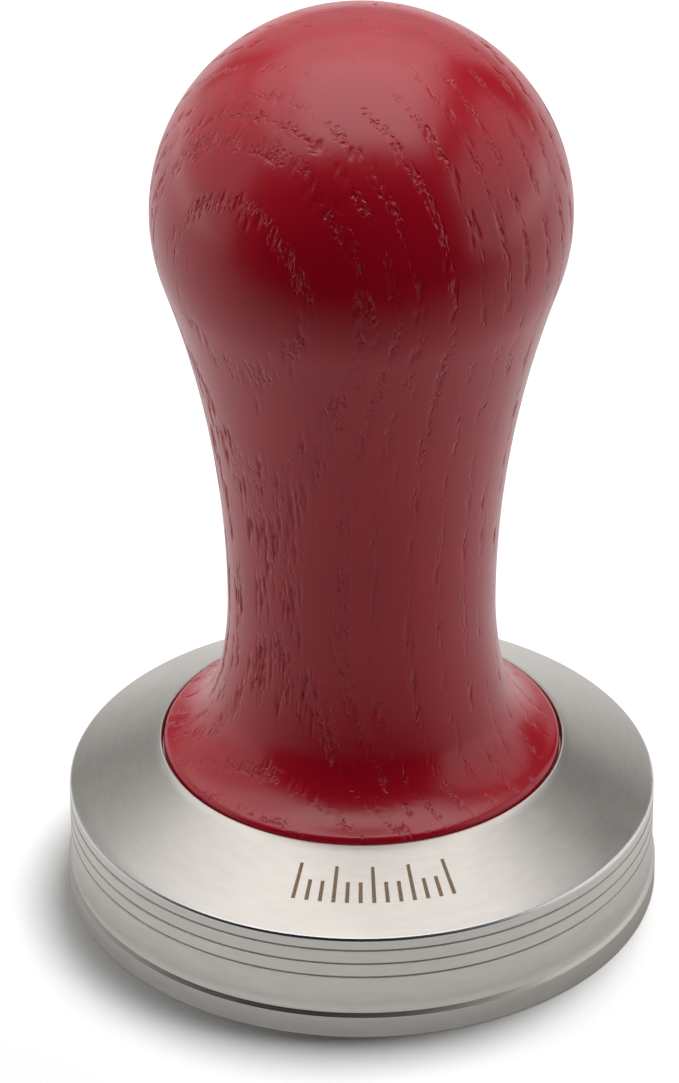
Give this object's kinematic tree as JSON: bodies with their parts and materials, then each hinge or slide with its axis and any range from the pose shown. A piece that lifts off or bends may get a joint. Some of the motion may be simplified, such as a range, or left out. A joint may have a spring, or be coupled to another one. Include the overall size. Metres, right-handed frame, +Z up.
{
  "type": "espresso tamper",
  "caption": "Flat-based steel espresso tamper with a turned red wooden knob handle that unscrews from a stud in the base.",
  "frame": {"origin": "centre of the flat underside of the base, which is the lowest face", "axes": "+Z up along the turning axis, from the tamping face to the top of the knob; -Y is the side that carries the engraved scale"},
  "size_m": [0.0574, 0.0574, 0.092],
  "materials": {
    "base_steel": "circularly brushed stainless steel with polished edges",
    "stud_steel": "plain machined steel thread",
    "washer_rubber": "matt black rubber",
    "red_lacquered_ash": "open-pored ash with satin red lacquer",
    "insert_brass": "machined brass"
  },
  "bodies": {
    "base_body": {"base": "base_steel", "stud": "stud_steel"},
    "washer_body": {"seat_washer": "washer_rubber"},
    "handle_body": {"handle": "red_lacquered_ash", "threaded_insert": "insert_brass"}
  },
  "joints": [
    {"name": "handle_rise", "type": "slide", "parent": "base_body", "child": "washer_body", "axis": [0, 0, 1], "range_m": [0, 0.0125]},
    {"name": "handle_unscrew", "type": "hinge", "parent": "washer_body", "child": "handle_body", "pos_m": [0, 0, 0.0151], "axis": [0, 0, 1], "range_deg": [0, 3600]}
  ],
  "couplings": [
    {"joint": "handle_rise", "follows": "handle_unscrew", "m_per_rad": 0.00019894}
  ]
}
